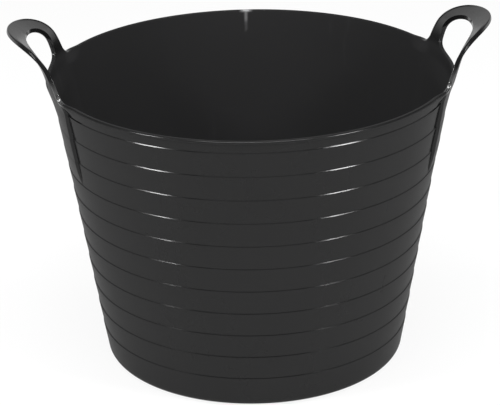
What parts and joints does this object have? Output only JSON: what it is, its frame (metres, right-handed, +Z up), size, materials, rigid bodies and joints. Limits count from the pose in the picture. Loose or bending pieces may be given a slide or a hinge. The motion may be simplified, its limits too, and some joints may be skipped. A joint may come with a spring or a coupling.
{
  "type": "flexible mixing tub",
  "caption": "Black flexible polyethylene tub with a stepped tapering wall, a rolled rim and two loop handles that flex at their roots.",
  "frame": {"origin": "middle of the flat face that the tub stands on", "axes": "+Z up along the tub's axis, +X through the middle of the right handle, +Y towards the back wall"},
  "size_m": [0.5368, 0.45, 0.3913],
  "materials": {
    "tub_black": "black low-density polyethylene, waxy satin"
  },
  "bodies": {
    "tub": {"base_panel": "tub_black", "foot_ring": "tub_black", "heel_front": "tub_black", "heel_back": "tub_black", "lower_wall_front": "tub_black", "lower_wall_back": "tub_black", "upper_wall_front": "tub_black", "upper_wall_back": "tub_black", "rim_front": "tub_black", "rim_back": "tub_black", "handle_panel_left": "tub_black", "handle_panel_right": "tub_black", "handle_root_left": "tub_black", "handle_root_right": "tub_black"},
    "handle_left": {"handle_left": "tub_black"},
    "handle_right": {"handle_right": "tub_black"}
  },
  "joints": [
    {"name": "handle_left_flex", "type": "hinge", "parent": "tub", "child": "handle_left", "pos_m": [-0.21767, 0, 0.341], "axis": [0, 1, 0], "range_deg": [-15, 45], "stiffness_Nm_per_rad": 2},
    {"name": "handle_right_flex", "type": "hinge", "parent": "tub", "child": "handle_right", "pos_m": [0.21767, 0, 0.341], "axis": [0, -1, 0], "range_deg": [-15, 45], "stiffness_Nm_per_rad": 2}
  ]
}
